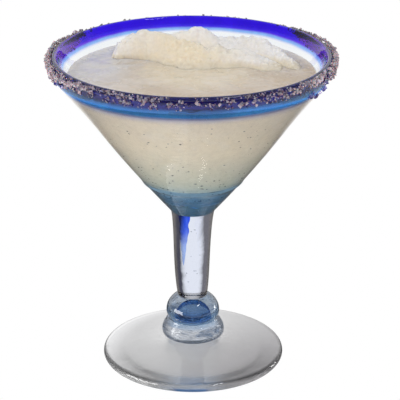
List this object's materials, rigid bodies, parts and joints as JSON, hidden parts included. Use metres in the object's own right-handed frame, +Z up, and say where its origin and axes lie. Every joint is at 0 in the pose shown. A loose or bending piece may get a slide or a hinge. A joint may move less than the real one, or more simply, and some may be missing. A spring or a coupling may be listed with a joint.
{
  "type": "martini glass",
  "caption": "Stemmed cone-bowl cocktail glass with a solid stem, ball knop and disc foot, a blue lip crusted with salt, and a frozen drink with a heap of ice in it.",
  "frame": {"origin": "centre of the foot, in the plane of the table it stands on", "axes": "+Z up the axis of the stem, towards the lip; +X to the right in the reference view and -Y towards the viewer"},
  "size_m": [0.1416, 0.1416, 0.162],
  "materials": {
    "clear_glass": "clear hand-blown glass, fire polished, with small seeds",
    "pale_blue_glass": "clear glass tinted pale steel blue, fire polished",
    "cobalt_glass": "deep cobalt glass, fire polished",
    "salt": "coarse damp salt crystals, matt with bright facets",
    "frozen_drink": "cloudy wet slush, semi-gloss",
    "crushed_ice": "wet crushed ice, translucent white"
  },
  "bodies": {
    "root": {"foot": "clear_glass", "collar": "pale_blue_glass", "knop": "pale_blue_glass", "knop_core": "cobalt_glass", "stem": "clear_glass", "stem_trail": "cobalt_glass", "bowl_base": "pale_blue_glass", "bowl": "clear_glass", "rim_band": "cobalt_glass", "salt_rim": "salt", "drink": "frozen_drink", "ice_heap": "crushed_ice"}
  },
  "joints": []
}
